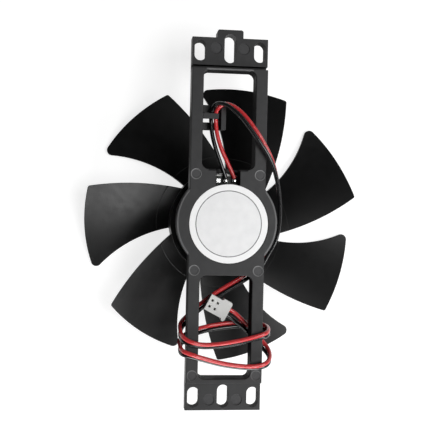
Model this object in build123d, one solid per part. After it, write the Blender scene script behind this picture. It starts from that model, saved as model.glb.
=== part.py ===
"""Frameless seven-blade cooling fan on a moulded ladder bracket.

Frame: the origin is the centre of the four corner slots, on the seat plane under the two tabs.
+X runs along the bracket to the tab with the nose, +Z points to the label side, away from the impeller.
All lengths are millimetres, all angles are degrees.
"""
import math
import os

from build123d import *

# Bracket ladder
bracket_width = 29.0
frame_depth = 8.0
window_width = 20.0
window_end = 58.5
window_corner = 2.5
seat_relief = 0.4
edge_round = 0.35
rail_core_width = 1.7
rail_core_depth = 5.0
rail_core_end_wall = 2.0

# Tabs and slots
tab_end = 71.0
lower_ladder_end = 60.1
upper_tab_drop = 1.8
lower_tab_drop = 3.0
nose_width = 9.9
nose_reach = 3.1
nose_corner = 0.8
slot_spacing_x = 132.0
slot_spacing_y = 22.8
slot_width = 4.4
slot_length = 7.8
upper_middle_slot_x = 67.0
upper_middle_slot_length = 11.0
lower_middle_slot_x = 65.6
lower_middle_slot_length = 8.8
groove_lip = 0.6
groove_width = 1.4
groove_web = 3.0

# Ejector pin marks
mark_radius = 1.85
tab_mark_radius = 2.1
mark_depth = 0.25
plate_mark_x = 18.2
mark_y = 12.2
window_mark_x = 57.2
tab_mark_x = 67.0
tab_mark_y = 5.3

# Motor plate on the bracket
fan_offset = 0.85
plate_half_length = 20.2
plate_radius = 19.2
plate_thickness = 2.0
skirt_wall = 1.5
notch_width = 9.3
notch_inner = 14.0
lip_chamfer = 0.7
label_radius = 15.0
label_thickness = 0.25
label_recess = 0.3
label_margin = 0.2
label_shift_x = -0.5
label_shift_y = -0.6

# Cable clip on the left rail
clip_x = 41.0
clip_length = 9.6
clip_reach = 9.0
clip_floor_bottom = 0.8
clip_floor_thickness = 1.4
clip_wall = 1.8
clip_wall_height = 4.4
finger_width = 1.95
finger_reach = 5.9
finger_thickness = 1.7
finger_relief = 0.9

# Bearing and shaft
shaft_radius = 1.5
running_clearance = 0.02
sleeve_radius = 3.0
sleeve_length = 12.0
sleeve_bottom = -13.5
sleeve_chamfer = 0.4
tube_wall = 1.6
ring_room = 2.7
cap_radius = 4.0
cap_head = 1.5
cap_plug = 1.6
slip = 0.05
end_play = 0.3
washer_thickness = 0.5
washer_radius = 2.9
retaining_ring_radius = 2.3
retaining_ring_thickness = 0.6
shaft_overrun = 1.2
shaft_groove = 0.45
shaft_chamfer = 0.3
ring_gap = 1.0

# Stator
core_bottom = -12.5
core_height = 6.0
air_gap = 0.7
pole_count = 4
pole_width = 4.0
pole_shoe = 1.8
pole_shoe_angle = 72.0
core_hub_radius = 6.6
stator_angle = 45.0
insulator_plate = 0.8
insulator_margin = 0.4
insulator_wall = 0.8
insulator_setback = 2.0
insulator_wall_height = 2.2
stator_shoulder = -3.0
post_radius = 1.1
post_circle = 8.8
coil_inner = 6.9
coil_end_gap = 0.9
coil_build = 1.7
coil_corner = 1.2
pin_radius = 0.4
pin_depth = 3.0
pin_stand = 0.9
solder_foot = 0.95
solder_neck = 0.52
solder_height = 0.65

# Circuit board
board_drop = 3.8
board_thickness = 1.2
board_radius = 16.8
board_tongue_width = 8.0
board_tongue_reach = 18.3
tube_step_wall = 1.2
pad_x = 16.0
pad_length = 1.9
pad_width = 1.8
pad_height = 1.5
red_pad_y = -2.9
black_pad_y = 0.5
spare_pad_y = 3.3
spare_pad_height = 0.6
bead_round = 0.45
transistor_size = (4.5, 2.5, 1.5)
transistor_angles = (110, 250)
chip_size = (2.0, 1.25, 0.6)
chip_angles = (65, 140, 160, 205, 222, 295)
part_circle = 11.5
hall_size = (1.6, 4.0, 3.0)
hall_circle = 13.2
hall_angle = 180
hall_lead = 0.5
hall_lead_pitch = 1.27
hall_lead_length = 1.6

# Rotor
hub_radius = 20.9
hub_top = -2.6
hub_bottom = -20.5
hub_wall = 1.7
hub_floor = 1.6
hub_edge = 1.5
hub_boss_radius = 5.2
hub_boss_height = 1.8
hub_dish_radius = 14.0
hub_dish_depth = 0.5
yoke_thickness = 1.0
yoke_bore = 6.0
yoke_lip_below_rim = 1.4
magnet_thickness = 3.1
magnet_length = 12.5
boss_radius = 3.6
boss_neck_radius = 3.0

# Blades
blade_count = 7
first_blade_angle = -68.6
tip_radius = 54.6
root_depth = 0.9
trailing_tip_angle = -9.6
trailing_root_angle = -35.0
trailing_bulge = 1.7
leading_tip_angle = 26.9
leading_root_angle = 11.8
leading_hollow = 3.2
trailing_corner = 1.0
leading_corner = 2.1
trailing_root_z = -5.3
trailing_tip_z = -7.0
leading_root_z = -17.9
leading_tip_z = -22.0
blade_root_thickness = 2.4
blade_tip_thickness = 1.3
blade_camber = 0.06
blade_overlap = 3.0
blade_stations = 5
root_pad_radius = 26.0
root_pad_extra = 0.9

# Lead and connector
wire_diameter = 1.6
wire_spread = 0.85
lead_in = 2.2
bend_share = 0.45
connector_x = -31.6
connector_y = 2.4
connector_bottom = 0.0
connector_angle = -118.0
connector_length = 9.0
connector_width = 6.4
connector_thickness = 5.0
lip_length = 1.6
long_lip_length = 4.2
lip_extra = 0.75
lip_corner = 0.5
contact_pitch = 2.5
cavity_size = 1.9
cavity_wall = 0.9
contact_size = 1.7
contact_length = 6.2
contact_window = 0.9
contact_window_step = 2.3

# Worked-out places
plate_bottom = frame_depth - plate_thickness
rail_inner = window_width / 2
plate_top_edge = fan_offset + plate_half_length
plate_low_edge = fan_offset - plate_half_length
upper_ladder_end = window_end + groove_lip + groove_width
tube_radius = sleeve_radius + tube_wall
board_bottom = plate_bottom - board_drop
sleeve_top = sleeve_bottom + sleeve_length
board_top = board_bottom + board_thickness
step_radius = tube_radius + tube_step_wall
core_top = core_bottom + core_height
skirt_radius = plate_radius - skirt_wall
boss_top = sleeve_bottom - end_play - washer_thickness
shaft_top = sleeve_top + end_play + retaining_ring_thickness + shaft_overrun
hub_inner = hub_radius - hub_wall
hub_floor_top = hub_bottom + hub_floor
yoke_radius = hub_inner - slip
magnet_radius = yoke_radius - yoke_thickness - slip
core_radius = magnet_radius - magnet_thickness - air_gap
insulator_wall_radius = core_radius - insulator_setback
coil_outer = insulator_wall_radius - insulator_wall - coil_end_gap

fan_axis = Pos(fan_offset, 0, 0)
label_place = Pos(fan_offset + label_shift_x, label_shift_y, 0)


def block(x0, x1, y0, y1, z0, z1):
    """Box between two opposite corners."""
    centre = Pos((x0 + x1) / 2, (y0 + y1) / 2, (z0 + z1) / 2)
    return centre * Box(abs(x1 - x0), abs(y1 - y0), abs(z1 - z0))


def ring(outer, inner, bottom, top):
    """Upright ring about the Z axis."""
    return Pos(0, 0, bottom) * extrude(Circle(outer) - Circle(inner), top - bottom)


def disc(radius, bottom, top):
    """Upright cylinder about the Z axis."""
    return Pos(0, 0, bottom) * extrude(Circle(radius), top - bottom)


def turned(points):
    """Solid of revolution about the Z axis from (radius, height) points."""
    profile = make_face(Polyline(*points, close=True))
    return revolve(Plane.XZ * profile, Axis.Z)


def slot_cut(x, y, length):
    """Through slot along X, centred on (x, y)."""
    return extrude(Pos(x, y, 0) * SlotOverall(length, slot_width), frame_depth)


def window_cut(x0, x1):
    """Rounded window between two cross bars."""
    outline = RectangleRounded(x1 - x0, window_width, window_corner)
    return extrude(Pos((x0 + x1) / 2, 0, 0) * outline, frame_depth)


def mark_cut(x, y, face_z, radius):
    """Shallow round ejector pin mark in a face."""
    return Pos(x, y, 0) * disc(radius, face_z - mark_depth, face_z)


def bracket_clip():
    """Cable clip: a floor, an upright and a finger over the wires, standing on the left rail."""
    x0 = clip_x - clip_length / 2
    x1 = clip_x + clip_length / 2
    inner = rail_inner - clip_reach
    floor_top = clip_floor_bottom + clip_floor_thickness
    floor = block(x0, x1, inner, rail_inner, clip_floor_bottom, floor_top)
    finger_half = finger_width / 2
    relief_half = finger_half + finger_relief
    relief = block(clip_x - relief_half, clip_x + relief_half, rail_inner - finger_reach, rail_inner,
                   clip_floor_bottom, floor_top)
    wall_top = clip_floor_bottom + clip_wall_height
    upright = block(x0, x1, inner, inner + clip_wall, clip_floor_bottom, wall_top)
    finger = block(clip_x - finger_half, clip_x + finger_half, rail_inner - finger_reach, rail_inner,
                   frame_depth - finger_thickness, frame_depth)
    return floor - relief + upright + finger


def bearing_tube():
    """Stepped tube under the motor plate that carries the board, the stator and the bush."""
    outside = [(0, frame_depth - label_recess), (cap_radius + tube_wall, frame_depth - label_recess),
               (step_radius + tube_step_wall, plate_bottom), (step_radius + tube_step_wall, board_top),
               (step_radius, board_top), (step_radius, stator_shoulder), (tube_radius, stator_shoulder),
               (tube_radius, sleeve_bottom), (0, sleeve_bottom)]
    return turned(outside)


def bearing_bore():
    """Bore of the tube: bush seat, room for the retaining ring and seat of the oil cap."""
    cap_seat = frame_depth - label_recess - cap_head
    return turned([(0, frame_depth), (cap_radius, frame_depth), (cap_radius, cap_seat), (ring_room, cap_seat),
                   (ring_room, sleeve_top), (sleeve_radius, sleeve_top), (sleeve_radius, sleeve_bottom),
                   (0, sleeve_bottom)])


def lip_bevel():
    """Bevel along the motor plate's upper edge, between the corners of the upper window."""
    corner = make_face(Polyline((plate_top_edge, frame_depth), (plate_top_edge - lip_chamfer, frame_depth),
                                (plate_top_edge, frame_depth - lip_chamfer), close=True))
    return extrude(Plane.XZ * corner, rail_inner - window_corner, both=True)


def rail_cores():
    """Channels that core the four rail stretches from below."""
    depth = seat_relief + rail_core_depth
    middle = (bracket_width + window_width) / 4
    cores = Part()
    for start, end in ((plate_top_edge, window_end), (-window_end, plate_low_edge)):
        length = end - start - 2 * rail_core_end_wall
        for side in (-1, 1):
            channel = Pos((start + end) / 2, side * middle) * SlotOverall(length, rail_core_width)
            cores += extrude(channel, depth)
    return cores


def make_bracket():
    """Ladder frame, tabs, motor plate, bearing tube and clip as one moulding."""
    half = bracket_width / 2
    nose = RectangleRounded(2 * nose_reach, nose_width, nose_corner)
    body = block(-tab_end, tab_end, -half, half, 0, frame_depth)
    body += fan_axis * disc(plate_radius, 0, frame_depth)
    body -= window_cut(plate_top_edge, window_end)
    body -= window_cut(-window_end, plate_low_edge)
    body = fillet(body.faces().sort_by(Axis.Z)[-1].edges(), edge_round)
    body += extrude(Pos(tab_end, 0, 0) * nose, frame_depth - upper_tab_drop)
    upper_face = frame_depth - upper_tab_drop
    lower_face = frame_depth - lower_tab_drop
    body -= block(upper_ladder_end, tab_end + nose_reach, -half, half, upper_face, frame_depth)
    body -= block(-tab_end, -lower_ladder_end, -half, half, lower_face, frame_depth)
    body -= block(window_end + groove_lip, upper_ladder_end, -half, half, groove_web, frame_depth)
    body -= block(-window_end, window_end, -plate_radius, plate_radius, 0, seat_relief)
    body -= rail_cores()
    for side in (-1, 1):
        for end in (-1, 1):
            body -= slot_cut(end * slot_spacing_x / 2, side * slot_spacing_y / 2, slot_length)
            body -= mark_cut(fan_offset + end * plate_mark_x, side * mark_y, frame_depth, mark_radius)
        body -= mark_cut(-window_mark_x, side * mark_y, frame_depth, mark_radius)
        body -= mark_cut(-tab_mark_x, side * tab_mark_y, lower_face, tab_mark_radius)
        body -= mark_cut(tab_mark_x, side * tab_mark_y, upper_face, tab_mark_radius)
    body -= slot_cut(upper_middle_slot_x, 0, upper_middle_slot_length)
    body -= slot_cut(-lower_middle_slot_x, 0, lower_middle_slot_length)
    body -= fan_axis * disc(skirt_radius, 0, plate_bottom)
    notch_half = notch_width / 2
    body -= block(fan_offset + notch_inner, plate_top_edge, -notch_half, notch_half, 0, frame_depth)
    body -= lip_bevel()
    body -= label_place * disc(label_radius + label_margin, frame_depth - label_recess, frame_depth)
    body += fan_axis * bearing_tube()
    body -= fan_axis * bearing_bore()
    return body + bracket_clip()


def make_label():
    """Round label in the recess of the motor plate."""
    floor = frame_depth - label_recess
    return label_place * disc(label_radius, floor, floor + label_thickness)


def make_oil_cap():
    """Soft plug that closes the bearing tube."""
    top = frame_depth - label_recess
    seat = top - cap_head
    end = seat - cap_plug
    return fan_axis * turned([(0, top), (cap_radius - slip, top), (cap_radius - slip, seat),
                              (ring_room - slip, seat), (ring_room - slip, end), (0, end)])


def make_bearing_sleeve():
    """Sintered bush with chamfered ends."""
    bore = shaft_radius + running_clearance
    chamfered = sleeve_radius - sleeve_chamfer
    return fan_axis * turned([(bore, sleeve_bottom), (chamfered, sleeve_bottom),
                              (sleeve_radius, sleeve_bottom + sleeve_chamfer),
                              (sleeve_radius, sleeve_top - sleeve_chamfer), (chamfered, sleeve_top),
                              (bore, sleeve_top)])


def pole_arms(width, outer, turn=0):
    """Flat cross of arms from the centre out to a radius, on the poles or turned away from them."""
    arm = Pos(outer / 2, 0) * Rectangle(outer, width)
    arms = Sketch()
    for index in range(pole_count):
        arms += Rot(0, 0, stator_angle + turn + index * 360 / pole_count) * arm
    return arms


def make_stator_core():
    """Lamination stack: hub, four arms and four pole shoes."""
    shoes = Circle(core_radius) - Circle(core_radius - pole_shoe)
    wedge = make_face(Polyline((0, 0), *wedge_ends(pole_shoe_angle, 2 * core_radius), close=True))
    shoe_sector = Sketch()
    for index in range(pole_count):
        shoe_sector += Rot(0, 0, stator_angle + index * 360 / pole_count) * wedge
    outline = (shoes & shoe_sector) + pole_arms(pole_width, core_radius - pole_shoe / 2)
    outline += Circle(core_hub_radius)
    outline -= Circle(tube_radius + slip)
    return fan_axis * Pos(0, 0, core_bottom) * extrude(outline, core_height)


def wedge_ends(angle, reach):
    """Outer corners of a wedge that opens by an angle about +X."""
    half = math.radians(angle / 2)
    return [(reach, -reach * math.tan(half)), (reach, reach * math.tan(half))]


def insulator(face, direction):
    """Plastic spider on one end of the stack, with a wall behind each pole shoe."""
    width = pole_width + 2 * insulator_margin
    spider = pole_arms(width, insulator_wall_radius) + Circle(core_hub_radius)
    spider -= Circle(tube_radius + slip)
    plate = extrude(spider, direction * insulator_plate)
    walls = Circle(insulator_wall_radius) - Circle(insulator_wall_radius - insulator_wall)
    walls &= pole_arms(2 * width, core_radius)
    plate += extrude(walls, direction * insulator_wall_height)
    return Pos(0, 0, face) * plate


def post_places():
    """Places of the winding posts, midway between the poles."""
    step = 360 / pole_count
    first = stator_angle + step / 2
    return [Rot(0, 0, first + index * step) * Pos(post_circle, 0, 0) for index in range(pole_count)]


def make_upper_insulator():
    """Upper spider with its collar and the posts under the circuit board."""
    spider = insulator(core_top, 1)
    spider += ring(core_hub_radius - insulator_margin, tube_radius + slip, core_top, stator_shoulder)
    post_arms = pole_arms(2 * post_radius, post_circle, 180 / pole_count) - Circle(tube_radius + slip)
    spider += Pos(0, 0, core_top) * extrude(post_arms, insulator_plate)
    for place in post_places():
        spider += place * disc(post_radius, core_top, board_bottom)
        spider -= place * disc(pin_radius, board_bottom - pin_depth, board_bottom)
    return fan_axis * spider


def make_lower_insulator():
    """Lower spider."""
    return fan_axis * insulator(core_bottom, -1)


def make_coils():
    """One winding round each pole arm."""
    inner_half = pole_width / 2 + insulator_margin
    low = core_bottom - insulator_plate
    high = core_top + insulator_plate
    window = Rectangle(2 * inner_half, high - low)
    outside = RectangleRounded(2 * (inner_half + coil_build), high - low + 2 * coil_build, coil_corner)
    plane = Plane(origin=(coil_inner, 0, (low + high) / 2), x_dir=(0, 1, 0), z_dir=(1, 0, 0))
    coil = extrude(plane * (outside - window), coil_outer - coil_inner)
    step = 360 / pole_count
    return [fan_axis * Rot(0, 0, stator_angle + index * step) * coil for index in range(pole_count)]


def make_terminal_pins():
    """Winding pins that stand in the posts and pass through the board."""
    return [fan_axis * place * disc(pin_radius, board_bottom - pin_depth, board_top + pin_stand)
            for place in post_places()]


def make_circuit_board():
    """Round board on the tube's step, with a tongue into the notch of the plate."""
    tongue_half = board_tongue_width / 2
    board = disc(board_radius, board_bottom, board_top)
    board += block(0, board_tongue_reach, -tongue_half, tongue_half, board_bottom, board_top)
    board -= disc(step_radius + slip, board_bottom, board_top)
    for place in post_places():
        board -= place * disc(pin_radius, board_bottom, board_top)
    return fan_axis * board


def make_solder_joints():
    """Fillets round the winding pins and beads on the lead pads."""
    cone_top = board_top + solder_height
    cone = turned([(pin_radius, board_top), (solder_foot, board_top), (solder_neck, cone_top),
                   (pin_radius, cone_top)])
    joints = [fan_axis * place * cone for place in post_places()]
    for y, height in ((red_pad_y, pad_height), (black_pad_y, pad_height), (spare_pad_y, spare_pad_height)):
        bead = Pos(pad_x, y, board_top + height / 2) * Box(pad_length, pad_width, height)
        upper = bead.edges().filter_by(Axis.Z) + bead.faces().sort_by(Axis.Z)[-1].edges()
        joints.append(fan_axis * fillet(upper, bead_round * height))
    return joints


def on_board(angle, radius, size):
    """Package that stands on the upper face of the board."""
    length, width, height = size
    return fan_axis * Rot(0, 0, angle) * Pos(radius, 0, board_top + height / 2) * Box(width, length, height)


def make_driver_transistors():
    """Two driver packages."""
    return [on_board(angle, part_circle, transistor_size) for angle in transistor_angles]


def make_chip_parts():
    """Chip resistors and capacitors."""
    return [on_board(angle, part_circle, chip_size) for angle in chip_angles]


def make_hall_sensor():
    """Position sensor that hangs from the board beside the magnet's upper edge."""
    radial, width, height = hall_size
    body_top = board_bottom - hall_lead_length
    body = Pos(hall_circle, 0, body_top - height / 2) * Box(radial, width, height)
    for index in (-1, 0, 1):
        lead = Pos(hall_circle, index * hall_lead_pitch, board_bottom - hall_lead_length / 2)
        body += lead * Box(hall_lead, hall_lead, hall_lead_length)
    return fan_axis * Rot(0, 0, hall_angle) * body


def blade_edge(angle, radius):
    """Point of the blade's outline, in the blade's own frame."""
    return (radius * math.cos(math.radians(angle)), radius * math.sin(math.radians(angle)))


def blade_outline():
    """Planform of a blade: bulged trailing edge, round tip, hollow leading edge, root inside the hub wall."""
    root = hub_radius - root_depth
    trailing_root = blade_edge(trailing_root_angle, root)
    trailing_tip = blade_edge(trailing_tip_angle, tip_radius)
    leading_tip = blade_edge(leading_tip_angle, tip_radius)
    leading_root = blade_edge(leading_root_angle, root)
    middle = (leading_tip_angle + trailing_tip_angle) / 2
    root_middle = (leading_root_angle + trailing_root_angle) / 2
    edges = SagittaArc(trailing_root, trailing_tip, -trailing_bulge)
    edges += ThreePointArc(trailing_tip, blade_edge(middle, tip_radius), leading_tip)
    edges += SagittaArc(leading_tip, leading_root, leading_hollow)
    edges += ThreePointArc(leading_root, blade_edge(root_middle, root), trailing_root)
    outline = make_face(edges)
    corners = outline.vertices().sort_by(lambda corner: math.hypot(corner.X, corner.Y))[-2:].sort_by(Axis.Y)
    outline = fillet(corners[0], trailing_corner)
    outer = outline.vertices().sort_by(lambda corner: corner.Y)[-2:]
    return fillet(outer.sort_by(lambda corner: math.hypot(corner.X, corner.Y))[-1], leading_corner)


def between(low, high, share):
    """Straight interpolation, also past both ends."""
    return low + (high - low) * share


def blade_section(station, extra):
    """Cambered section of the twisted plate, square to the blade's own axis."""
    root = hub_radius - root_depth
    trail0 = blade_edge(trailing_root_angle, root)
    trail1 = blade_edge(trailing_tip_angle, tip_radius)
    lead0 = blade_edge(leading_root_angle, root)
    lead1 = blade_edge(leading_tip_angle, tip_radius)
    trail_share = (station - trail0[0]) / (trail1[0] - trail0[0])
    lead_share = (station - lead0[0]) / (lead1[0] - lead0[0])
    start = Vector(between(trail0[1], trail1[1], trail_share),
                   between(trailing_root_z, trailing_tip_z, trail_share))
    end = Vector(between(lead0[1], lead1[1], lead_share), between(leading_root_z, leading_tip_z, lead_share))
    chord = end - start
    along = chord.normalized()
    normal = Vector(-along.Y, along.X)
    rise = normal * (4 * blade_camber * blade_overlap * (1 + blade_overlap / chord.length))
    sag = normal * (-blade_camber * chord.length)
    middle = (start + end) * 0.5 + sag
    start = start - along * blade_overlap + rise
    end = end + along * blade_overlap + rise
    half = normal * (0.5 * (between(blade_root_thickness, blade_tip_thickness, trail_share) + extra))
    outline = ThreePointArc(start + half, middle + half, end + half)
    outline += Line(end + half, end - half)
    outline += ThreePointArc(end - half, middle - half, start - half)
    outline += Line(start - half, start + half)
    plane = Plane(origin=(station, 0, 0), x_dir=(0, 1, 0), z_dir=(1, 0, 0))
    return plane * make_face(outline)


def make_blade():
    """Twisted cambered plate cut to the planform, with a thicker pad at its root."""
    first = blade_edge(trailing_root_angle, hub_radius - root_depth)[0] - blade_overlap
    step = (tip_radius + blade_overlap - first) / (blade_stations - 1)
    stations = [first + index * step for index in range(blade_stations)]
    column_bottom = hub_bottom - 2 * blade_overlap
    column = Pos(0, 0, column_bottom) * extrude(blade_outline(), -column_bottom)
    plate = loft([blade_section(station, 0) for station in stations])
    thick = loft([blade_section(station, root_pad_extra) for station in stations])
    pad_zone = disc(root_pad_radius, hub_bottom, hub_top)
    return (plate & column) + (thick & column & pad_zone)


def make_impeller():
    """Hub cup, open towards the bracket, with seven blades."""
    boss_end = hub_floor_top + hub_boss_height
    hub = turned([(0, hub_bottom + hub_dish_depth), (hub_dish_radius, hub_bottom + hub_dish_depth),
                  (hub_dish_radius, hub_bottom), (hub_radius, hub_bottom), (hub_radius, hub_top),
                  (hub_inner, hub_top), (hub_inner, hub_floor_top), (hub_boss_radius, hub_floor_top),
                  (hub_boss_radius, boss_end), (boss_radius, boss_end), (boss_radius, hub_floor_top),
                  (0, hub_floor_top)])
    lower_rim = hub.faces().filter_by(Axis.Z).sort_by(Axis.Z)[0].edges().sort_by(SortBy.RADIUS)[-1]
    hub = fillet(lower_rim, hub_edge)
    blade = make_blade()
    for index in range(blade_count):
        hub += Rot(0, 0, first_blade_angle + index * 360 / blade_count) * blade
    return fan_axis * (hub - disc(hub_inner, boss_end, hub_top))


def make_rotor_yoke():
    """Drawn steel flux cup inside the hub."""
    inner = yoke_radius - yoke_thickness
    floor = hub_floor_top + yoke_thickness
    top = hub_top - yoke_lip_below_rim
    return fan_axis * turned([(yoke_bore, hub_floor_top), (yoke_radius, hub_floor_top), (yoke_radius, top),
                              (inner, top), (inner, floor), (yoke_bore, floor)])


def make_magnet_ring():
    """Ring magnet in the flux cup."""
    bottom = hub_floor_top + yoke_thickness
    return fan_axis * ring(magnet_radius, magnet_radius - magnet_thickness, bottom, bottom + magnet_length)


def make_shaft_boss():
    """Brass boss in the hub floor that holds the shaft."""
    neck = hub_floor_top + hub_boss_height
    foot = boss_radius - slip
    return fan_axis * turned([(shaft_radius, hub_floor_top), (foot, hub_floor_top), (foot, neck),
                              (boss_neck_radius, neck), (boss_neck_radius, boss_top),
                              (shaft_radius, boss_top)])


def make_shaft():
    """Ground steel shaft with a chamfered top end and a groove for the retaining ring."""
    groove_bottom = sleeve_top + end_play
    groove_top = groove_bottom + retaining_ring_thickness
    groove = shaft_radius - shaft_groove
    return fan_axis * turned([(0, hub_floor_top), (shaft_radius, hub_floor_top),
                              (shaft_radius, groove_bottom), (groove, groove_bottom), (groove, groove_top),
                              (shaft_radius, groove_top), (shaft_radius, shaft_top - shaft_chamfer),
                              (shaft_radius - shaft_chamfer, shaft_top), (0, shaft_top)])


def make_retaining_ring():
    """Split ring in the shaft's groove, above the bush."""
    bottom = sleeve_top + end_play
    top = bottom + retaining_ring_thickness
    whole = ring(retaining_ring_radius, shaft_radius - shaft_groove, bottom, top)
    gap = block(0, retaining_ring_radius, -ring_gap / 2, ring_gap / 2, bottom, top)
    return fan_axis * (whole - gap)


def make_thrust_washer():
    """Washer on the boss, below the bush."""
    return fan_axis * ring(washer_radius, shaft_radius, boss_top, boss_top + washer_thickness)


def connector_place():
    """Middle of the connector's under face, with its local X towards the wires."""
    return Pos(connector_x, connector_y, connector_bottom) * Rot(0, 0, connector_angle)


def side_lip(side, length):
    """Lip along one side of the connector, at the wire end."""
    end = connector_length / 2
    wall = connector_width / 2
    outline = Polyline((end - length, side * wall), (end - length + lip_corner, side * (wall + lip_extra)),
                       (end - lip_corner, side * (wall + lip_extra)), (end, side * wall), close=True)
    return extrude(make_face(outline), connector_thickness)


def make_connector_housing():
    """Two-way crimp housing: uneven lips at the wire end, contact cavities, windows and nose holes."""
    nose = -connector_length / 2
    end = connector_length / 2
    half = cavity_size / 2
    middle = connector_thickness / 2
    hole_half = contact_window / 2
    body = block(nose, end, -connector_width / 2, connector_width / 2, 0, connector_thickness)
    body += side_lip(1, long_lip_length) + side_lip(-1, lip_length)
    for side in (-1, 1):
        y = side * contact_pitch / 2
        low = y - hole_half
        high = y + hole_half
        body -= block(nose + cavity_wall, end, y - half, y + half, middle - half, middle + half)
        body -= block(nose, nose + cavity_wall, low, high, middle - hole_half, middle + hole_half)
        for start in (nose + cavity_wall, nose + cavity_wall + contact_window_step):
            body -= block(start, start + contact_window, low, high, middle, connector_thickness)
    return connector_place() * body


def make_crimp_terminals():
    """Two box contacts inside the housing."""
    start = -connector_length / 2 + cavity_wall
    middle = connector_thickness / 2
    half = contact_size / 2
    contacts = []
    for side in (-1, 1):
        y = side * contact_pitch / 2
        shell = block(start, start + contact_length, y - half, y + half, middle - half, middle + half)
        hole = Box(contact_length / 2, half, half)
        bore = Pos(start + contact_length / 4, y, middle) * hole
        contacts.append(connector_place() * (shell - bore))
    return contacts


# Route of the lead: middle of the pair, then the direction from the middle to the red wire
lead_route = [
    ((17.8, -1.2, 4.3), (0, -2.0, 0)),
    ((22.8, 0.9, 4.5), (0, -1.7, 0)),
    ((28.1, 3.3, 4.5), (0.3, -1.2, 0)),
    ((34.6, 5.3, 4.3), (0.1, -1.1, 0)),
    ((40.8, 5.8, 4.0), (0, -1.05, 0)),
    ((43.4, 5.6, 4.5), (-0.3, -0.95, 0.4)),
    ((45.3, 4.5, 6.0), (-0.9, -0.4, 0.6)),
    ((45.9, 2.0, 7.8), (-0.35, 0.3, 1.05)),
    ((44.4, -1.2, 9.1), (0.35, -0.25, 1.0)),
    ((41.4, -4.8, 9.7), (0.6, -0.5, 0.75)),
    ((36.4, -8.8, 9.8), (0.75, -0.7, 0.25)),
    ((31.5, -12.2, 9.8), (0.7, -0.75, -0.3)),
    ((24.9, -16.5, 8.9), (0.4, -0.45, -0.9)),
    ((16.3, -19.8, 6.6), (0, 0, -1.05)),
    ((8.7, -21.3, 4.9), (0, 0, -1.05)),
    ((1.6, -21.5, 3.4), (0, 0, -1.05)),
    ((-5.7, -20.8, 1.8), (0.3, 0.3, -0.95)),
    ((-11.4, -17.0, -0.7), (0.7, 0.65, -0.35)),
    ((-16.8, -14.0, -1.2), (0.85, 0.7, 0)),
    ((-21.2, -7.8, -1.1), (0.85, 0.6, 0)),
    ((-25.8, 0.2, -1.1), (0.85, 0.6, 0)),
    ((-30.6, 7.2, -1.1), (0.85, 0.6, 0)),
    ((-36.2, 13.2, -1.2), (0.85, 0.65, 0)),
    ((-39.2, 16.1, -0.7), (0.95, 0.5, 0.4)),
    ((-41.0, 16.8, 3.8), (1.0, 0, 0.5)),
    ((-42.9, 16.5, 8.7), (0.95, 0, 0.6)),
    ((-44.7, 13.5, 10.0), (0.75, 0, 0.75)),
    ((-45.8, 8.6, 9.6), (0.65, 0, 0.75)),
    ((-45.4, 2.0, 9.6), (0.65, 0, 0.75)),
    ((-44.2, -5.0, 9.6), (0.65, 0, 0.75)),
    ((-42.6, -11.4, 9.7), (0.65, 0, 0.75)),
    ((-41.0, -15.8, 9.5), (0.85, 0, 0.6)),
    ((-39.6, -17.5, 5.6), (1.05, 0, 0)),
    ((-38.8, -17.1, 0.2), (1.05, 0, 0)),
    ((-38.6, -13.8, -2.3), (1.05, 0, 0)),
    ((-38.8, -8.0, -2.5), (1.05, 0, 0)),
    ((-39.6, 0.2, -1.6), (1.05, 0, 0)),
    ((-40.8, 7.6, -1.1), (1.0, 0.2, 0)),
    ((-43.0, 13.4, -1.3), (0.95, 0.45, 0)),
    ((-45.6, 16.3, -0.6), (0.95, 0.5, 0.2)),
    ((-46.9, 16.8, 4.2), (1.0, 0, 0.4)),
    ((-48.3, 16.5, 9.0), (0.95, 0, 0.6)),
    ((-49.3, 12.8, 10.1), (0.6, 0, 0.85)),
    ((-50.8, 7.6, 9.7), (0.5, 0, 0.88)),
    ((-52.5, 1.2, 9.7), (0.5, 0, 0.88)),
    ((-53.5, -5.6, 9.7), (0.5, 0, 0.88)),
    ((-53.8, -11.6, 9.8), (0.55, 0, 0.85)),
    ((-52.9, -15.7, 9.5), (0.75, 0, 0.75)),
    ((-51.1, -17.7, 6.8), (1.0, 0, 0.6)),
    ((-48.8, -18.2, 2.6), (1.0, 0, 0.6)),
    ((-46.4, -16.6, -0.8), (0.9, -0.65, 0.3)),
    ((-43.2, -13.0, -0.8), (0.8, -0.75, 0)),
    ((-40.0, -9.6, -0.7), (0.8, -0.75, 0)),
    ((-37.4, -6.6, 0.4), (1.0, -0.85, 0)),
]


def wire_points(side):
    """Route of one wire: the middle of the pair moved to one side, then straight up to its contact."""
    points = []
    for middle, direction in lead_route:
        points.append(Vector(*middle) + Vector(*direction) * (side * wire_spread))
    for reach in (connector_length / 2 + lead_in, contact_length + cavity_wall - connector_length / 2):
        entry = Pos(reach, side * contact_pitch / 2, connector_thickness / 2)
        points.append((connector_place() * entry).position)
    return points


def bend_radii(points):
    """Largest arc that each corner's two runs leave room for."""
    radii = []
    for before, corner, after in zip(points, points[1:], points[2:]):
        first = corner - before
        second = after - corner
        half_turn = math.radians(first.get_angle(second) / 2)
        radii.append(bend_share * min(first.length, second.length) / math.tan(half_turn))
    return radii


def make_wire(name, side):
    """One wire of the lead as a tube of straight runs and tangent arcs."""
    points = wire_points(side)
    radii = bend_radii(points)
    path = FilletPolyline(*points, radius=radii)
    section = Plane(origin=path @ 0, z_dir=path % 0) * Circle(wire_diameter / 2)
    tube = sweep(section, path=path)
    expected = math.pi * wire_diameter ** 2 / 4 * path.length
    print(name, "length", round(path.length, 1), "volume share", round(tube.volume / expected, 4))
    print("  bend radii", [round(radius, 1) for radius in radii])
    return tube


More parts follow.
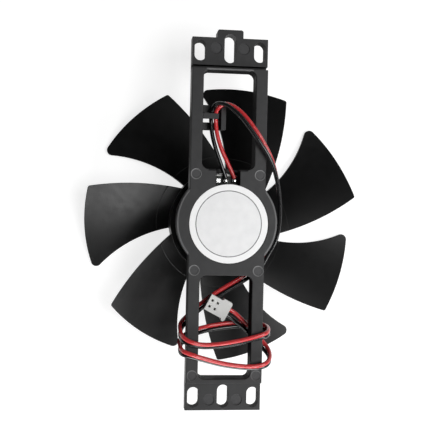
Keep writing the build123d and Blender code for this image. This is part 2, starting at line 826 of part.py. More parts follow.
def main():
    """Build every piece and write one file per node."""
    nodes = {
        "bracket": make_bracket(),
        "label": make_label(),
        "oil_cap": make_oil_cap(),
        "bearing_sleeve": make_bearing_sleeve(),
        "stator_core": make_stator_core(),
        "upper_insulator": make_upper_insulator(),
        "lower_insulator": make_lower_insulator(),
        "coil_windings": make_coils(),
        "terminal_pins": make_terminal_pins(),
        "circuit_board": make_circuit_board(),
        "hall_sensor": make_hall_sensor(),
        "driver_transistors": make_driver_transistors(),
        "chip_parts": make_chip_parts(),
        "solder_joints": make_solder_joints(),
        "red_wire": make_wire("red_wire", 1),
        "black_wire": make_wire("black_wire", -1),
        "connector_housing": make_connector_housing(),
        "crimp_terminals": make_crimp_terminals(),
        "impeller": make_impeller(),
        "rotor_yoke": make_rotor_yoke(),
        "magnet_ring": make_magnet_ring(),
        "shaft_boss": make_shaft_boss(),
        "shaft": make_shaft(),
        "retaining_ring": make_retaining_ring(),
        "thrust_washer": make_thrust_washer(),
    }
    os.makedirs("parts", exist_ok=True)
    for name, shape in nodes.items():
        solid = Compound(children=shape) if isinstance(shape, list) else shape
        export_step(solid, f"parts/{name}.step")


main()
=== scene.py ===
"""Looks of a frameless cooling fan on a ladder bracket: camera, lead, materials, floor and light."""
import math

import bpy
from mathutils import Matrix, Quaternion, Vector


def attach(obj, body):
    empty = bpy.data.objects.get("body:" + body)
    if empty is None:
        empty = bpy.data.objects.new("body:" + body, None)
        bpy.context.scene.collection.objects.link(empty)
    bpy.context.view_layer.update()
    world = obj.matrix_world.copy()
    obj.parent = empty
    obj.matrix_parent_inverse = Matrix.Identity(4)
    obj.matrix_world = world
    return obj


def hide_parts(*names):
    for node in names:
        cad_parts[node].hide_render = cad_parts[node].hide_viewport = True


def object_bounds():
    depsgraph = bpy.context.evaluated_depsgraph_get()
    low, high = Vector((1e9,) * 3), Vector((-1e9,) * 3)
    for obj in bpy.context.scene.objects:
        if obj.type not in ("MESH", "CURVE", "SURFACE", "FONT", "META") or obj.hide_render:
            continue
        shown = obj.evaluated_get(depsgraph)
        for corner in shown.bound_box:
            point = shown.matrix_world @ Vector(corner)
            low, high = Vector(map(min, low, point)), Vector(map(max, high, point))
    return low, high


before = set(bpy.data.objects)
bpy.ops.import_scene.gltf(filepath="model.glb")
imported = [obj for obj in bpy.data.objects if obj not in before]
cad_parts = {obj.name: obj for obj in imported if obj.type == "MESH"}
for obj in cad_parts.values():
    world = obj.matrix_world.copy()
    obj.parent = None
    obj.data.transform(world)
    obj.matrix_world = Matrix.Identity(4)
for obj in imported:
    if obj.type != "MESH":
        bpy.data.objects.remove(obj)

MM = 0.001
cad_low, cad_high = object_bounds()

# Camera, in the photograph's 440 x 440 frame; its turn is an axis times an angle
image_size = 440
focal_length_px = 813.0
sensor_width = 36.0
camera_near = 10 * MM
camera_place = Vector((3.54, 38.69, 313.26)) * MM
camera_turn = Vector((0.007, 0.117, -0.021))
photo_axes = Matrix(((0, 1, 0), (-1, 0, 0), (0, 0, 1)))

# Impeller and coils
fan_axis = Vector((0.85, 0, 0)) * MM
mould_turn_pitch = 0.9 * MM
coil_turn_pitch = 0.3 * MM

# Label, with the imprint of the oil cap below it
label_centre = Vector((0.35, -0.6, 0)) * MM
label_ring_radius = 12.5 * MM
label_ring_half_width = 0.13 * MM
label_ring_fade = 1.6 * label_ring_half_width
cap_imprint_inside = 3.7 * MM
cap_imprint_outside = 4.3 * MM

# Ejector pin marks: places in millimetres with Y folded to one side, and radii
ejector_marks = [
    ((19.05, 12.2), 1.85),
    ((-17.35, 12.2), 1.85),
    ((-57.2, 12.2), 1.85),
    ((67.0, 5.3), 2.1),
    ((-67.0, 5.3), 2.1),
]
mark_rim_half_width = 0.10 * MM
mark_rim_fade = 0.26 * MM
mark_rim_full_to = 50.0 * MM
mark_rim_gone_by = 62.0 * MM
mark_rim_rise = 2.0
mark_blotch_size = 0.8 * MM
mark_blotch_low = 0.6
mark_polish = 0.1

# Painted highlight on the rim of the round motor plate, beside the rails
plate_rim_radius = 18.9 * MM
plate_rim_half_width = 0.3 * MM
plate_rim_fade = 0.5 * MM
rail_outside = 14.5 * MM

# Painted highlight on the lip between the upper window and the groove
lip_x = 58.8 * MM
lip_half_width = 0.25 * MM
lip_fade = 0.4 * MM
lip_reach = 9.0 * MM

# Height from which rim and lip get the painted highlight
highlight_above = 6.8 * MM

# Walls inside the bracket's windows and slots, told from its faces by the Z of their normal; shade is painted
# on them near black
wall_steep = 0.5
wall_shallow = 0.8
inner_walls_x = 70.5 * MM
inner_walls_y = 14.0 * MM

# Finish of the bracket, with painted shade on the inner walls and painted highlights on the plate rim, the
# window lip and the rims of the ejector pin marks
bracket_dark = (0.027, 0.027, 0.028)
bracket_light = (0.033, 0.033, 0.034)
edge_grey = (0.075, 0.075, 0.077)
inner_wall_painted_shade = (0.005, 0.005, 0.0053)
painted_highlight_grey = (0.12, 0.12, 0.122)
mark_grey = (0.048, 0.048, 0.05)
mark_rim_highlight_grey = (0.19, 0.19, 0.192)
bracket_roughness = (0.48, 0.58)
bracket_specular = 0.3
inner_wall_specular = 0.03
bracket_grain = 0.22 * MM
bracket_grain_depth = 0.02 * MM
edge_wear_size = 1.5 * MM

# Circuit board: cut edge and face by the Z of the normal, tracks, and the line printed on its tongue
board_edge_to = 0.4
board_face_from = 0.6
track_size = 2.5 * MM
track_from = 0.49
track_to = 0.51
board_line_x = 18.8 * MM
board_line_half_width = 0.10 * MM
board_line_fade = 1.5 * board_line_half_width

# Shared by the finishes
plastic_edge = 0.25 * MM
bevel_samples = 6
cloud_size = 6 * MM
cloud_detail = 4.0
fine_detail = 3.0
gloss_patch = 2 * MM
noise_low = 0.3
noise_high = 0.7
streak_low = 0.25
streak_high = 0.75
streak_roughness = 0.6
no_stretch = (1, 1, 1)
range_sockets = ("From Min", "From Max", "To Min", "To Max")

# Z of the normal from which a face looks up, and how far the softened normal turns at a worn edge
up_from = 0.7
up_full = 0.9
worn_from = 0.98
worn_full = 0.85

# Floor and surroundings, with heights as the Z of a direction
floor_half = 3.0
floor_grey = 0.4
floor_glow = 0.78
room_level = 0.06
horizon_level = 0.8
ceiling_level = 0.04
horizon_top = 0.15
ceiling_from = 0.35

# Lamps in metres and watts: place, size and power
lamp_target = Vector((-0.02, 0, 0))
lamps = {
    "key": (Vector((-0.42, 0.0, 0.125)), 0.26, 1.6),
    "side": (Vector((-0.30, -0.30, 0.20)), 0.15, 0.55),
    "fill": (Vector((-0.01, -0.25, 0.52)), 0.32, 2.25),
}

# Lead, with the spread and the connector's places in millimetres
wire_diameter = 1.6 * MM
wire_spread = 0.85
wire_order = 3
wire_smoothness = 8
wire_roundness = 5
connector_place = Vector((-31.6, 2.4, 0))
connector_angle = math.radians(-118)
connector_entries = (6.7, 2.6)
connector_mid_height = 2.5
half_pitch = 1.25

# Middle of the pair in millimetres, then the direction from the middle to the red wire
lead_route = [
    ((17.8, -1.2, 4.3), (0, -2.0, 0)),
    ((22.8, 0.9, 4.5), (0, -1.7, 0)),
    ((28.1, 3.3, 4.5), (0.3, -1.2, 0)),
    ((34.6, 5.3, 4.3), (0.1, -1.1, 0)),
    ((40.8, 5.8, 4.0), (0, -1.05, 0)),
    ((43.4, 5.6, 4.5), (-0.3, -0.95, 0.4)),
    ((45.3, 4.5, 6.1), (-0.85, -0.65, -0.7)),
    ((45.9, 2.0, 7.8), (0.3, 0, -1.2)),
    ((44.4, -1.2, 9.1), (0.7, -0.35, -0.75)),
    ((41.4, -4.8, 9.8), (0.7, -0.55, -0.5)),
    ((36.4, -8.8, 10.0), (0.7, -0.6, -0.45)),
    ((31.5, -12.2, 10.1), (0.6, -0.6, -0.6)),
    ((24.9, -16.5, 9.2), (0.25, -0.35, -0.95)),
    ((16.3, -19.4, 6.6), (0, -0.15, -1.04)),
    ((8.7, -20.8, 4.9), (0, -0.2, -1.03)),
    ((1.6, -21.1, 3.4), (0, -0.2, -1.03)),
    ((-5.7, -20.3, 1.8), (0, -0.2, -1.0)),
    ((-11.4, -17.0, -0.7), (0.45, 0.25, -0.88)),
    ((-16.8, -14.0, -1.2), (0.77, 0.55, -0.45)),
    ((-21.2, -7.8, -1.1), (0.79, 0.56, 0)),
    ((-25.8, 0.2, -1.1), (0.78, 0.55, 0)),
    ((-30.6, 7.2, -1.1), (0.78, 0.55, 0)),
    ((-36.2, 13.2, -1.2), (0.79, 0.58, 0)),
    ((-39.2, 16.1, -0.7), (0.95, 0.5, 0.4)),
    ((-41.0, 16.8, 3.8), (1.0, 0, 0.5)),
    ((-42.9, 16.5, 8.7), (0.95, 0, 0.6)),
    ((-44.7, 13.5, 10.0), (0.75, 0, 0.75)),
    ((-45.8, 8.6, 9.6), (0.65, 0, 0.75)),
    ((-45.4, 2.0, 9.6), (0.65, 0, 0.75)),
    ((-44.2, -5.0, 9.6), (0.65, 0, 0.75)),
    ((-42.6, -11.4, 9.7), (0.65, 0, 0.75)),
    ((-41.4, -15.8, 9.5), (0.85, 0, 0.6)),
    ((-40.6, -17.3, 5.6), (1.0, 0, 0)),
    ((-39.9, -17.0, 0.2), (1.0, 0, 0)),
    ((-39.2, -13.8, -2.3), (1.0, 0, 0)),
    ((-38.8, -8.0, -2.5), (0.98, 0, 0)),
    ((-39.6, 0.2, -1.6), (0.96, 0, 0)),
    ((-40.8, 7.6, -1.1), (0.95, 0.2, 0)),
    ((-43.0, 13.4, -1.3), (0.9, 0.42, 0)),
    ((-45.6, 16.3, -0.6), (0.95, 0.5, 0.2)),
    ((-46.9, 16.8, 4.2), (1.0, 0, 0.4)),
    ((-48.3, 16.5, 9.0), (0.95, 0, 0.6)),
    ((-49.3, 12.8, 10.1), (0.6, 0, 0.85)),
    ((-50.8, 7.6, 9.7), (0.5, 0, 0.88)),
    ((-52.5, 1.2, 9.7), (0.5, 0, 0.88)),
    ((-53.5, -5.6, 9.7), (0.5, 0, 0.88)),
    ((-53.8, -11.6, 9.8), (0.55, 0, 0.85)),
    ((-52.9, -15.7, 9.5), (0.75, 0, 0.75)),
    ((-51.5, -17.7, 6.8), (1.0, 0, 0.6)),
    ((-49.6, -18.2, 2.6), (1.0, 0, 0.6)),
    ((-47.3, -16.6, -0.8), (0.9, -0.65, 0.3)),
    ((-43.7, -13.0, -0.8), (0.8, -0.75, 0)),
    ((-40.0, -9.6, -0.7), (0.8, -0.75, 0)),
    ((-37.4, -6.6, 0.4), (1.0, -0.85, 0)),
]


def named_socket(sockets, identifier):
    """Socket of a Mix node, where sockets of several data types share a name."""
    return next(socket for socket in sockets if socket.identifier == identifier)


class Surface:
    """A material's node tree with short calls for the nodes that the finishes share."""

    def __init__(self, name):
        self.material = bpy.data.materials.new(name)
        self.material.use_nodes = True
        self.nodes = self.material.node_tree.nodes
        self.links = self.material.node_tree.links
        self.shader = self.nodes["Principled BSDF"]
        texture = self.nodes.new("ShaderNodeTexCoord")
        self.place = texture.outputs["Object"]
        self.normal = texture.outputs["Normal"]

    def set(self, **values):
        """Plain values on the shader's own sockets."""
        for name, value in values.items():
            self.shader.inputs[name.replace("_", " ")].default_value = value

    def feed(self, source, target):
        """Leads a texture to one of the shader's sockets."""
        self.links.new(source, self.shader.inputs[target])

    def noise(self, size, detail, roughness=0.5, stretch=no_stretch):
        """Noise with features of about the given size in metres."""
        place = self.nodes.new("ShaderNodeMapping")
        place.inputs["Scale"].default_value = stretch
        self.links.new(self.place, place.inputs["Vector"])
        noise = self.nodes.new("ShaderNodeTexNoise")
        noise.inputs["Scale"].default_value = 1 / size
        noise.inputs["Detail"].default_value = detail
        noise.inputs["Roughness"].default_value = roughness
        self.links.new(place.outputs["Vector"], noise.inputs["Vector"])
        return noise.outputs["Fac"]

    def math(self, operation, first, second=0.0):
        """One sum on numbers or sockets."""
        node = self.nodes.new("ShaderNodeMath")
        node.operation = operation
        for socket, value in zip(node.inputs, (first, second)):
            if isinstance(value, (int, float)):
                socket.default_value = value
            else:
                self.links.new(value, socket)
        return node.outputs["Value"]

    def both(self, first, second):
        """Share that two shares have in common."""
        return self.math("MULTIPLY", first, second)

    def plus(self, base, extra, times):
        """A base with something extra, taken a number of times."""
        return self.math("ADD", base, self.math("MULTIPLY", extra, times))

    def away(self, value, level=0.0):
        """Distance of a value from a level, to either side."""
        return self.math("ABSOLUTE", self.math("SUBTRACT", value, level))

    def spread(self, source, low, high, out_low, out_high):
        """Maps a range of values to another one."""
        node = self.nodes.new("ShaderNodeMapRange")
        for name, value in zip(range_sockets, (low, high, out_low, out_high)):
            node.inputs[name].default_value = value
        self.links.new(source, node.inputs["Value"])
        return node.outputs["Result"]

    def near(self, distance, full, gone):
        """1 up to a distance, fading to 0 at a greater one."""
        return self.spread(distance, full, gone, 1, 0)

    def uneven(self, size, detail, low=0, high=1):
        """Noise spread over a range."""
        return self.spread(self.noise(size, detail), noise_low, noise_high, low, high)

    def mix(self, share, first, second):
        """Colour between two colours, each a tuple or a socket."""
        node = self.nodes.new("ShaderNodeMix")
        node.data_type = "RGBA"
        self.links.new(share, node.inputs["Factor"])
        for identifier, colour in (("A_Color", first), ("B_Color", second)):
            socket = named_socket(node.inputs, identifier)
            if isinstance(colour, tuple):
                socket.default_value = (*colour, 1)
            else:
                self.links.new(colour, socket)
        return named_socket(node.outputs, "Result_Color")

    def clouds(self, size, dark, light, detail=cloud_detail):
        """Colour that drifts between two colours."""
        return self.mix(self.uneven(size, detail), dark, light)

    def gloss(self, patch, low, high):
        """Roughness that varies between two values, in patches of the given size."""
        self.feed(self.uneven(patch, fine_detail, low, high), "Roughness")

    def coordinates(self, vector):
        """X, Y and Z of a vector."""
        parts = self.nodes.new("ShaderNodeSeparateXYZ")
        self.links.new(vector, parts.inputs["Vector"])
        return parts.outputs

    def radius(self, centre):
        """Distance from an upright axis through a point."""
        place = self.coordinates(self.place)
        along = self.math("SUBTRACT", place["X"], centre.x)
        across = self.math("SUBTRACT", place["Y"], centre.y)
        squares = self.math("ADD", self.math("MULTIPLY", along, along), self.math("MULTIPLY", across, across))
        return self.math("SQRT", squares)

    def rings(self, pitch):
        """Wave from -1 to 1 in rings about the fan axis."""
        return self.math("SINE", self.math("MULTIPLY", self.radius(fan_axis), 2 * math.pi / pitch))

    def upright(self):
        """1 on level faces, 0 on walls, by the Z of the normal without its sign."""
        return self.away(self.coordinates(self.normal)["Z"])

    def facing_up(self):
        """1 on faces that look along +Z, 0 on the others."""
        return self.spread(self.coordinates(self.normal)["Z"], up_from, up_full, 0, 1)

    def soft_edges(self, radius):
        """Normal that runs round sharp edges on a small radius."""
        bevel = self.nodes.new("ShaderNodeBevel")
        bevel.samples = bevel_samples
        bevel.inputs["Radius"].default_value = radius
        return bevel.outputs["Normal"]

    def wear(self, soft_normal):
        """1 along sharp edges, 0 on open faces."""
        turn = self.nodes.new("ShaderNodeVectorMath")
        turn.operation = "DOT_PRODUCT"
        self.links.new(soft_normal, turn.inputs[0])
        self.links.new(self.nodes.new("ShaderNodeNewGeometry").outputs["Normal"], turn.inputs[1])
        return self.spread(turn.outputs["Value"], worn_from, worn_full, 0, 1)

    def relief(self, height, depth, soft_normal=None):
        """Bump of a depth in metres from a height, over softened edges where their normal is given."""
        bump = self.nodes.new("ShaderNodeBump")
        bump.inputs["Strength"].default_value = 1.0
        bump.inputs["Distance"].default_value = depth
        self.links.new(height, bump.inputs["Height"])
        if soft_normal:
            self.links.new(soft_normal, bump.inputs["Normal"])
        self.feed(bump.outputs["Normal"], "Normal")


def moulded(name, dark, light, roughness, grain, depth=0.01 * MM, specular=0.3, edge=plastic_edge):
    """Moulded or pressed piece: cloudy colour, fine grain, uneven gloss."""
    surface = Surface(name)
    surface.feed(surface.clouds(cloud_size, dark, light), "Base Color")
    surface.gloss(gloss_patch, *roughness)
    surface.set(Specular_IOR_Level=specular)
    surface.relief(surface.noise(grain, fine_detail), depth, surface.soft_edges(edge))
    return surface.material


def metal(name, dark, light, roughness, grain, depth=0.01 * MM, stretch=no_stretch):
    """Bare metal with streaks or grain."""
    surface = Surface(name)
    streaks = surface.noise(grain, cloud_detail, streak_roughness, stretch)
    share = surface.spread(streaks, streak_low, streak_high, 0, 1)
    surface.feed(surface.mix(share, dark, light), "Base Color")
    surface.feed(surface.spread(streaks, streak_low, streak_high, *roughness), "Roughness")
    surface.set(Metallic=1.0)
    surface.relief(streaks, depth)
    return surface.material


def nearest_mark(surface):
    """Distance outside the rim of the nearest ejector pin mark, negative within the mark."""
    place = surface.coordinates(surface.place)
    folded = surface.nodes.new("ShaderNodeCombineXYZ")
    surface.links.new(place["X"], folded.inputs["X"])
    surface.links.new(surface.away(place["Y"]), folded.inputs["Y"])
    nearest = None
    for centre, radius in ejector_marks:
        distance = surface.nodes.new("ShaderNodeVectorMath")
        distance.operation = "DISTANCE"
        surface.links.new(folded.outputs["Vector"], distance.inputs[0])
        distance.inputs[1].default_value = Vector((*centre, 0)) * MM
        outside = surface.math("SUBTRACT", distance.outputs["Value"], radius * MM)
        nearest = surface.math("MINIMUM", nearest, outside) if nearest else outside
    return nearest


def mark_rims(surface, outside):
    """1 on the rims of the ejector pin marks, for a painted highlight, fading out towards the tabs."""
    rim = surface.near(surface.away(outside), mark_rim_half_width, mark_rim_fade)
    along = surface.away(surface.coordinates(surface.place)["X"])
    return surface.both(rim, surface.near(along, mark_rim_full_to, mark_rim_gone_by))


def inner_walls(surface):
    """1 on the walls inside the windows and slots, where shade is painted, 0 elsewhere."""
    place = surface.coordinates(surface.place)
    short_of_ends = surface.math("LESS_THAN", surface.away(place["X"]), inner_walls_x)
    short_of_sides = surface.math("LESS_THAN", surface.away(place["Y"]), inner_walls_y)
    wall = surface.near(surface.upright(), wall_steep, wall_shallow)
    return surface.both(wall, surface.both(short_of_ends, short_of_sides))


def plate_rim_highlight(surface):
    """1 along the rim of the motor plate where it stands out beside the rails, for a painted highlight."""
    place = surface.coordinates(surface.place)
    beside_rails = surface.math("GREATER_THAN", surface.away(place["Y"]), rail_outside)
    on_top = surface.math("GREATER_THAN", place["Z"], highlight_above)
    off_rim = surface.away(surface.radius(fan_axis), plate_rim_radius)
    rim = surface.near(off_rim, plate_rim_half_width, plate_rim_fade)
    return surface.both(rim, surface.both(beside_rails, on_top))


def window_lip_highlight(surface):
    """1 on the lip between the upper window and the groove, for a painted highlight."""
    place = surface.coordinates(surface.place)
    between_rails = surface.math("LESS_THAN", surface.away(place["Y"]), lip_reach)
    on_top = surface.math("GREATER_THAN", place["Z"], highlight_above)
    lip = surface.near(surface.away(place["X"], lip_x), lip_half_width, lip_fade)
    return surface.both(lip, surface.both(between_rails, on_top))


def bracket_plastic():
    """Grained plastic with worn edges and polished ejector pin marks, painted shade on the inner walls, and
    painted highlights on the plate rim, the window lip and the mark rims.
    """
    surface = Surface("bracket_plastic")
    soft_normal = surface.soft_edges(plastic_edge)
    wall = inner_walls(surface)
    up = surface.facing_up()
    outside = nearest_mark(surface)
    disc = surface.both(surface.near(outside, -mark_rim_fade, 0), up)
    rim = surface.both(mark_rims(surface, outside), up)
    edges = surface.both(surface.wear(soft_normal), surface.noise(edge_wear_size, fine_detail))
    blotches = surface.both(disc, surface.uneven(mark_blotch_size, fine_detail, mark_blotch_low))
    layers = [
        (edges, edge_grey),
        # painted shade: the walls inside the windows and slots near black
        (wall, inner_wall_painted_shade),
        # painted highlights on the rim of the motor plate and on the window lip
        (plate_rim_highlight(surface), painted_highlight_grey),
        (window_lip_highlight(surface), painted_highlight_grey),
        (blotches, mark_grey),
        # painted highlight on the rims of the ejector pin marks, which also rise as a bump
        (rim, mark_rim_highlight_grey),
    ]
    colour = surface.clouds(cloud_size, bracket_dark, bracket_light)
    for share, grey in layers:
        colour = surface.mix(share, colour, grey)
    surface.feed(colour, "Base Color")
    grained = surface.uneven(gloss_patch, fine_detail, *bracket_roughness)
    surface.feed(surface.plus(grained, disc, -mark_polish), "Roughness")
    # little gloss on the inner walls, so that their painted shade stays dark
    surface.feed(surface.spread(wall, 0, 1, bracket_specular, inner_wall_specular), "Specular IOR Level")
    height = surface.plus(surface.noise(bracket_grain, fine_detail), rim, mark_rim_rise)
    surface.relief(height, bracket_grain_depth, soft_normal)
    return surface.material


def blade_plastic():
    """Satin black plastic of the impeller with faint turning marks left by the mould."""
    surface = Surface("impeller_plastic")
    black = surface.clouds(size=9 * MM, dark=(0.0022, 0.0022, 0.0024), light=(0.0038, 0.0038, 0.0040))
    surface.feed(black, "Base Color")
    surface.feed(surface.uneven(size=3 * MM, detail=cloud_detail, low=0.38, high=0.46), "Roughness")
    surface.set(Specular_IOR_Level=0.34)
    grain = surface.noise(size=0.25 * MM, detail=fine_detail)
    height = surface.plus(grain, surface.rings(mould_turn_pitch), times=0.15)
    surface.relief(height, depth=0.012 * MM, soft_normal=surface.soft_edges(radius=0.3 * MM))
    return surface.material


def label_film():
    """White film label with a thin printed ring and a faint imprint of the oil cap below."""
    surface = Surface("label_film")
    radius = surface.radius(label_centre)
    field = surface.clouds(size=4 * MM, dark=(0.82, 0.82, 0.825), light=(0.88, 0.88, 0.885))
    past_ring = surface.math("SUBTRACT", radius, label_ring_radius)
    border = surface.spread(past_ring, 0, label_ring_half_width, 0, 1)
    paper = surface.mix(border, field, (0.93, 0.93, 0.93))
    ring = surface.near(surface.away(past_ring), label_ring_half_width, label_ring_fade)
    ink = surface.both(ring, surface.uneven(size=0.6 * MM, detail=cloud_detail, low=0.82))
    surface.feed(surface.mix(ink, paper, (0.06, 0.06, 0.065)), "Base Color")
    surface.gloss(patch=1.5 * MM, low=0.42, high=0.55)
    surface.set(Specular_IOR_Level=0.35)
    imprint = surface.spread(radius, cap_imprint_inside, cap_imprint_outside, 0, 1)
    height = surface.plus(surface.noise(size=0.5 * MM, detail=cloud_detail), imprint, times=0.5)
    surface.relief(height, depth=0.03 * MM, soft_normal=surface.soft_edges(radius=0.2 * MM))
    return surface.material


def insulation(name, dark, light):
    """Extruded wire insulation: slow drift of colour, slight pebbling, high gloss."""
    surface = Surface(name)
    surface.feed(surface.clouds(size=7 * MM, dark=dark, light=light, detail=fine_detail), "Base Color")
    surface.gloss(patch=1.2 * MM, low=0.13, high=0.19)
    surface.set(Specular_IOR_Level=0.6)
    surface.relief(surface.noise(size=0.4 * MM, detail=fine_detail), depth=0.015 * MM)
    return surface.material


def laminate():
    """Circuit board: dark solder mask with tracks on the faces, pale glass fibre on the cut edge."""
    surface = Surface("board_laminate")
    face = surface.spread(surface.upright(), board_edge_to, board_face_from, 0, 1)
    tracks = surface.spread(surface.noise(track_size, detail=0.0), track_from, track_to, 0, 1)
    mask = surface.mix(tracks, (0.003, 0.005, 0.004), (0.006, 0.010, 0.007))
    off_line = surface.away(surface.coordinates(surface.place)["X"], board_line_x)
    line = surface.near(off_line, board_line_half_width, board_line_fade)
    mask = surface.mix(line, mask, (0.85, 0.85, 0.83))
    weave = surface.noise(size=0.3 * MM, detail=fine_detail)
    fibre = surface.mix(weave, (0.5, 0.47, 0.36), (0.7, 0.67, 0.55))
    surface.feed(surface.mix(face, fibre, mask), "Base Color")
    surface.feed(surface.spread(tracks, 0, 1, out_low=0.45, out_high=0.35), "Roughness")
    surface.set(Specular_IOR_Level=0.25)
    surface.relief(tracks, depth=0.03 * MM)
    return surface.material


def winding():
    """Enamelled copper turns round a pole."""
    surface = Surface("copper_winding")
    turns = surface.rings(coil_turn_pitch)
    copper = surface.mix(surface.spread(turns, -1, 1, 0, 1), (0.28, 0.09, 0.03), (0.72, 0.31, 0.13))
    surface.feed(copper, "Base Color")
    surface.gloss(patch=1 * MM, low=0.25, high=0.4)
    surface.set(Metallic=1.0)
    surface.relief(turns, depth=0.08 * MM)
    return surface.material


def moulded_finishes():
    """Finishes of the pieces that are moulded or pressed."""
    chip = moulded("chip_black", (0.015, 0.015, 0.016), (0.025, 0.025, 0.026),
                   roughness=(0.45, 0.6), grain=0.1 * MM)
    insulator = moulded("insulator_plastic", (0.70, 0.68, 0.60), (0.78, 0.76, 0.68),
                        roughness=(0.4, 0.5), grain=0.3 * MM)
    nylon = moulded("housing_nylon", (0.60, 0.60, 0.59), (0.67, 0.67, 0.65),
                    roughness=(0.40, 0.50), grain=0.4 * MM, specular=0.4, edge=0.12 * MM)
    ceramic = moulded("chip_ceramic", (0.36, 0.29, 0.19), (0.5, 0.41, 0.28),
                      roughness=(0.4, 0.55), grain=0.15 * MM)
    washer = moulded("washer_plastic", (0.66, 0.66, 0.62), (0.74, 0.74, 0.7),
                     roughness=(0.4, 0.5), grain=0.3 * MM)
    rubber = moulded("cap_rubber", (0.02, 0.02, 0.02), (0.035, 0.035, 0.035),
                     roughness=(0.7, 0.8), grain=0.2 * MM, depth=0.02 * MM)
    ferrite = moulded("ferrite", (0.03, 0.03, 0.032), (0.05, 0.05, 0.052),
                      roughness=(0.55, 0.7), grain=0.12 * MM, depth=0.02 * MM)
    return {
        "hall_sensor": chip, "driver_transistors": chip, "upper_insulator": insulator,
        "lower_insulator": insulator, "connector_housing": nylon, "chip_parts": ceramic,
        "thrust_washer": washer, "oil_cap": rubber, "magnet_ring": ferrite,
    }


def metal_finishes():
    """Finishes of the pieces that are bare metal."""
    # the crimp terminals: dull metal darkened further, as painted shade at the bottom of the housing's
    # windows
    contact = metal("contact_metal_painted_shade", (0.10, 0.09, 0.08), (0.17, 0.16, 0.14),
                    roughness=(0.45, 0.6), grain=0.5 * MM)
    tinned = metal("tinned_metal", (0.55, 0.55, 0.53), (0.78, 0.78, 0.76),
                   roughness=(0.25, 0.4), grain=0.5 * MM)
    solder = metal("solder", (0.62, 0.62, 0.62), (0.88, 0.88, 0.87),
                   roughness=(0.14, 0.32), grain=0.6 * MM, depth=0.05 * MM)
    bronze = metal("bronze", (0.38, 0.24, 0.12), (0.6, 0.4, 0.22),
                   roughness=(0.4, 0.6), grain=0.15 * MM, depth=0.02 * MM)
    stack = metal("lamination", (0.25, 0.26, 0.28), (0.5, 0.51, 0.53),
                  roughness=(0.35, 0.55), grain=1 * MM, depth=0.02 * MM, stretch=(1, 1, 8))
    plated = metal("yoke_steel", (0.42, 0.42, 0.43), (0.58, 0.58, 0.58),
                   roughness=(0.3, 0.45), grain=1.2 * MM)
    brass = metal("boss_brass", (0.55, 0.4, 0.16), (0.75, 0.58, 0.28),
                  roughness=(0.25, 0.4), grain=0.8 * MM, stretch=(1, 1, 6))
    ground = metal("shaft_steel", (0.5, 0.5, 0.51), (0.7, 0.7, 0.71),
                   roughness=(0.15, 0.3), grain=0.8 * MM, depth=0.005 * MM, stretch=(1, 1, 6))
    return {
        "crimp_terminals": contact, "terminal_pins": tinned, "solder_joints": solder,
        "bearing_sleeve": bronze, "stator_core": stack, "rotor_yoke": plated,
        "shaft_boss": brass, "shaft": ground, "retaining_ring": ground,
    }


def dress_nodes():
    """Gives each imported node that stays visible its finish."""
    finishes = {
        "bracket": bracket_plastic(), "label": label_film(), "impeller": blade_plastic(),
        "circuit_board": laminate(), "coil_windings": winding(),
        **moulded_finishes(), **metal_finishes(),
    }
    for name, material in finishes.items():
        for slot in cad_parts[name].material_slots:
            slot.material = material


def make_camera():
    """Camera at the photograph's viewing angle."""
    data = bpy.data.cameras.new("photo_camera")
    data.sensor_width = sensor_width
    data.lens = focal_length_px * sensor_width / image_size
    data.clip_start = camera_near
    camera = bpy.data.objects.new("photo_camera", data)
    tilt = Quaternion(camera_turn.normalized(), camera_turn.length).to_matrix()
    camera.matrix_world = Matrix.Translation(camera_place) @ (photo_axes @ tilt.transposed()).to_4x4()
    bpy.context.scene.collection.objects.link(camera)
    bpy.context.scene.camera = camera


def wire_points(side):
    """Control points of one wire: the route moved to one side, then straight into its contact."""
    points = []
    for middle, direction in lead_route:
        points.append((Vector(middle) + Vector(direction) * side * wire_spread) * MM)
    turn = Matrix.Rotation(connector_angle, 3, "Z")
    for reach in connector_entries:
        entry = Vector((reach, side * half_pitch, connector_mid_height))
        points.append((connector_place + turn @ entry) * MM)
    return points


def make_wire(name, side, material):
    """One wire of the lead, from its solder pad to its contact."""
    points = wire_points(side)
    curve = bpy.data.curves.new(name + "_lead", "CURVE")
    curve.dimensions = "3D"
    curve.bevel_depth = wire_diameter / 2
    curve.bevel_resolution = wire_roundness
    curve.use_fill_caps = True
    spline = curve.splines.new("NURBS")
    spline.points.add(len(points) - 1)
    for control, point in zip(spline.points, points):
        control.co = (*point, 1)
    spline.order_u = wire_order
    spline.use_endpoint_u = True
    spline.resolution_u = wire_smoothness
    curve.materials.append(material)
    wire = bpy.data.objects.new(name + "_lead", curve)
    bpy.context.scene.collection.objects.link(wire)
    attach(wire, "bracket_body")
    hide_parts(name)


def make_lead():
    """The red and the black wire."""
    red = insulation("red_insulation", (0.56, 0.034, 0.039), (0.64, 0.046, 0.051))
    black = insulation("black_insulation", (0.004, 0.004, 0.0045), (0.007, 0.007, 0.0075))
    make_wire("red_wire", 1, red)
    make_wire("black_wire", -1, black)


def seen_ray(nodes, links):
    """1 for rays that show the surroundings: straight from the camera, mirrored or refracted."""
    path = nodes.new("ShaderNodeLightPath")
    seen = path.outputs["Is Camera Ray"]
    for kind in ("Is Glossy Ray", "Is Transmission Ray"):
        either = nodes.new("ShaderNodeMath")
        either.operation = "MAXIMUM"
        links.new(seen, either.inputs[0])
        links.new(path.outputs[kind], either.inputs[1])
        seen = either.outputs["Value"]
    return seen


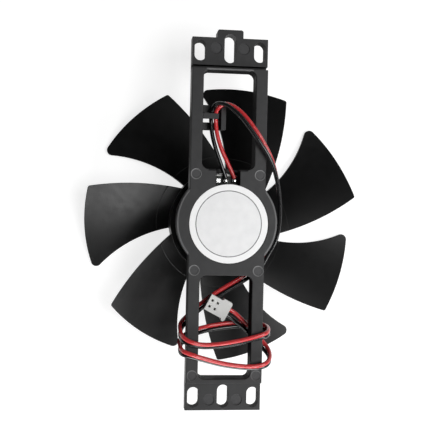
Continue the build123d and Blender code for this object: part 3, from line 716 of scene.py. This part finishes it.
def floor_material():
    """Grey floor that also glows for the rays that show the surroundings, so that it looks white."""
    material = bpy.data.materials.new("floor")
    material.use_nodes = True
    nodes = material.node_tree.nodes
    links = material.node_tree.links
    nodes.clear()
    lit = nodes.new("ShaderNodeBsdfDiffuse")
    lit.inputs["Color"].default_value = (floor_grey, floor_grey, floor_grey, 1)
    glow = nodes.new("ShaderNodeEmission")
    glow.inputs["Strength"].default_value = floor_glow
    glowing = nodes.new("ShaderNodeAddShader")
    links.new(lit.outputs["BSDF"], glowing.inputs[0])
    links.new(glow.outputs["Emission"], glowing.inputs[1])
    choice = nodes.new("ShaderNodeMixShader")
    links.new(seen_ray(nodes, links), choice.inputs["Fac"])
    links.new(lit.outputs["BSDF"], choice.inputs[1])
    links.new(glowing.outputs["Shader"], choice.inputs[2])
    links.new(choice.outputs["Shader"], nodes.new("ShaderNodeOutputMaterial").inputs["Surface"])
    return material


def make_floor():
    """Pale floor under the hub, with a soft shadow."""
    mesh = bpy.data.meshes.new("floor")
    corners = [(-floor_half, -floor_half, 0), (floor_half, -floor_half, 0),
               (floor_half, floor_half, 0), (-floor_half, floor_half, 0)]
    mesh.from_pydata(corners, [], [(0, 1, 2, 3)])
    mesh.materials.append(floor_material())
    floor = bpy.data.objects.new("floor", mesh)
    floor.location.z = cad_low.z
    bpy.context.scene.collection.objects.link(floor)


def make_world():
    """Faint room light, and a pale horizon under a dark ceiling for rays that show the surroundings."""
    world = bpy.data.worlds.new("studio")
    world.use_nodes = True
    nodes = world.node_tree.nodes
    links = world.node_tree.links
    background = nodes["Background"]
    background.inputs["Color"].default_value = (1, 1, 1, 1)
    direction = nodes.new("ShaderNodeSeparateXYZ")
    links.new(nodes.new("ShaderNodeTexCoord").outputs["Generated"], direction.inputs["Vector"])
    shown = nodes.new("ShaderNodeMapRange")
    for name, value in zip(range_sockets, (horizon_top, ceiling_from, horizon_level, ceiling_level)):
        shown.inputs[name].default_value = value
    links.new(direction.outputs["Z"], shown.inputs["Value"])
    level = nodes.new("ShaderNodeMix")
    level.data_type = "FLOAT"
    links.new(seen_ray(nodes, links), level.inputs["Factor"])
    named_socket(level.inputs, "A_Float").default_value = room_level
    links.new(shown.outputs["Result"], named_socket(level.inputs, "B_Float"))
    links.new(named_socket(level.outputs, "Result_Float"), background.inputs["Strength"])
    bpy.context.scene.world = world


def make_light():
    """Square soft boxes: the key low from the bracket's lower end, one from the side, a fill from above."""
    for name, (place, size, power) in lamps.items():
        data = bpy.data.lights.new(name, "AREA")
        data.size = size
        data.energy = power
        lamp = bpy.data.objects.new(name, data)
        lamp.location = place
        lamp.rotation_mode = "QUATERNION"
        lamp.rotation_quaternion = (lamp_target - place).to_track_quat("-Z", "Y")
        bpy.context.scene.collection.objects.link(lamp)


make_camera()
make_lead()
dress_nodes()
make_floor()
make_world()
make_light()
bpy.context.scene.view_settings.view_transform = "Standard"
